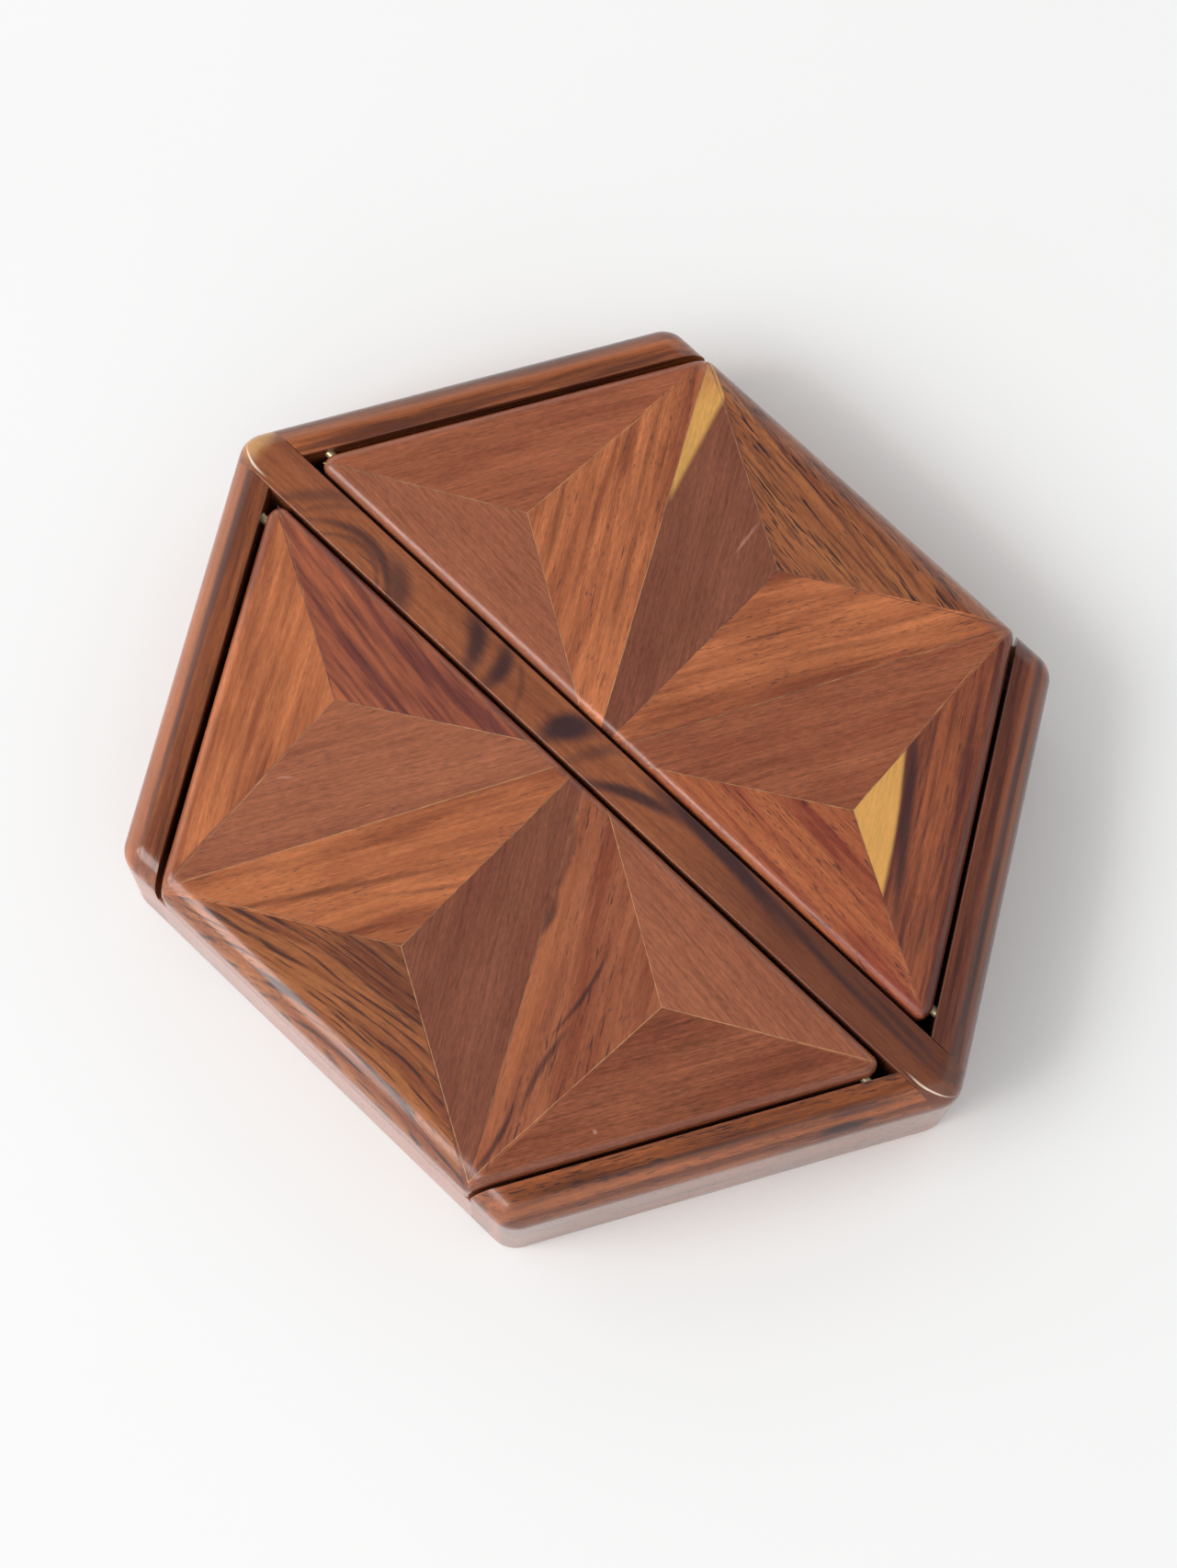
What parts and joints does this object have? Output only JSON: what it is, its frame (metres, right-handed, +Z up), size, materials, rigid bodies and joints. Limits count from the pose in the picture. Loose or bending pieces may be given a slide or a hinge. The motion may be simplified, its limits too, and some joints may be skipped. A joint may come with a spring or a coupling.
{
  "type": "inlaid wooden box",
  "caption": "Low six-sided hardwood box with a divider bar, slanted side rails and inlaid lids that swing up on brass pins.",
  "frame": {"origin": "centre of the underside, on the surface that the box stands on", "axes": "+Z up; +X along the divider bar; lid 1 on the +Y side and lid 2 on the -Y side"},
  "size_m": [0.2774, 0.2242, 0.0472],
  "materials": {
    "brass": "drawn brass rod, dulled",
    "core_wood": "plain hardwood board",
    "felt": "short dark brown felt",
    "figured_wood": "exotic hardwood, rubbed satin gloss finish, swirling dark figure",
    "inlay_dull_red": "dull reddish brown hardwood facet, satin gloss",
    "inlay_orange": "orange hardwood facet with darker stripes, satin gloss",
    "inlay_purple_brown": "purple brown hardwood facet, plain grain, satin gloss",
    "inlay_red_brown": "reddish brown hardwood facet, plain grain, satin gloss",
    "inlay_streaked": "olive brown hardwood facet with near-black streaks, satin gloss",
    "inlay_striped": "dark striped hardwood facet, satin gloss",
    "inlay_tan_brown": "tan brown hardwood facet, fine grain, satin gloss",
    "panel_wood": "sanded, thin oil",
    "rail_wood": "exotic hardwood, rubbed satin gloss finish, dark stripes",
    "stave_wood": "exotic hardwood, rubbed satin gloss finish"
  },
  "bodies": {
    "box_body": {"base_panel": "panel_wood", "divider_bar": "figured_wood", "side_rail_1": "rail_wood", "side_rail_2": "rail_wood", "side_rail_3": "rail_wood", "side_rail_4": "rail_wood", "hinge_pin_1": "brass", "hinge_pin_2": "brass", "hinge_pin_3": "brass", "hinge_pin_4": "brass", "front_stave_1": "stave_wood", "front_stave_2": "stave_wood", "floor_liner_1": "felt", "floor_liner_2": "felt"},
    "lid_1": {"lid_1_core": "core_wood", "lid_1_facet_1": "inlay_red_brown", "lid_1_facet_2": "inlay_orange", "lid_1_facet_3": "inlay_tan_brown", "lid_1_facet_4": "inlay_streaked", "lid_1_facet_5": "inlay_purple_brown", "lid_1_facet_6": "inlay_orange", "lid_1_facet_7": "inlay_striped", "lid_1_facet_8": "inlay_dull_red", "lid_1_facet_9": "inlay_orange"},
    "lid_2": {"lid_2_core": "core_wood", "lid_2_facet_1": "inlay_red_brown", "lid_2_facet_2": "inlay_dull_red", "lid_2_facet_3": "inlay_tan_brown", "lid_2_facet_4": "inlay_streaked", "lid_2_facet_5": "inlay_purple_brown", "lid_2_facet_6": "inlay_orange", "lid_2_facet_7": "inlay_orange", "lid_2_facet_8": "inlay_tan_brown", "lid_2_facet_9": "inlay_striped"}
  },
  "joints": [
    {"name": "lid_1_pivot", "type": "hinge", "parent": "box_body", "child": "lid_1", "pos_m": [0, 0.0137, 0.0418], "axis": [1, 0, 0], "range_deg": [0, 94]},
    {"name": "lid_2_pivot", "type": "hinge", "parent": "box_body", "child": "lid_2", "pos_m": [0, -0.0137, 0.0418], "axis": [-1, 0, 0], "range_deg": [0, 94]}
  ]
}
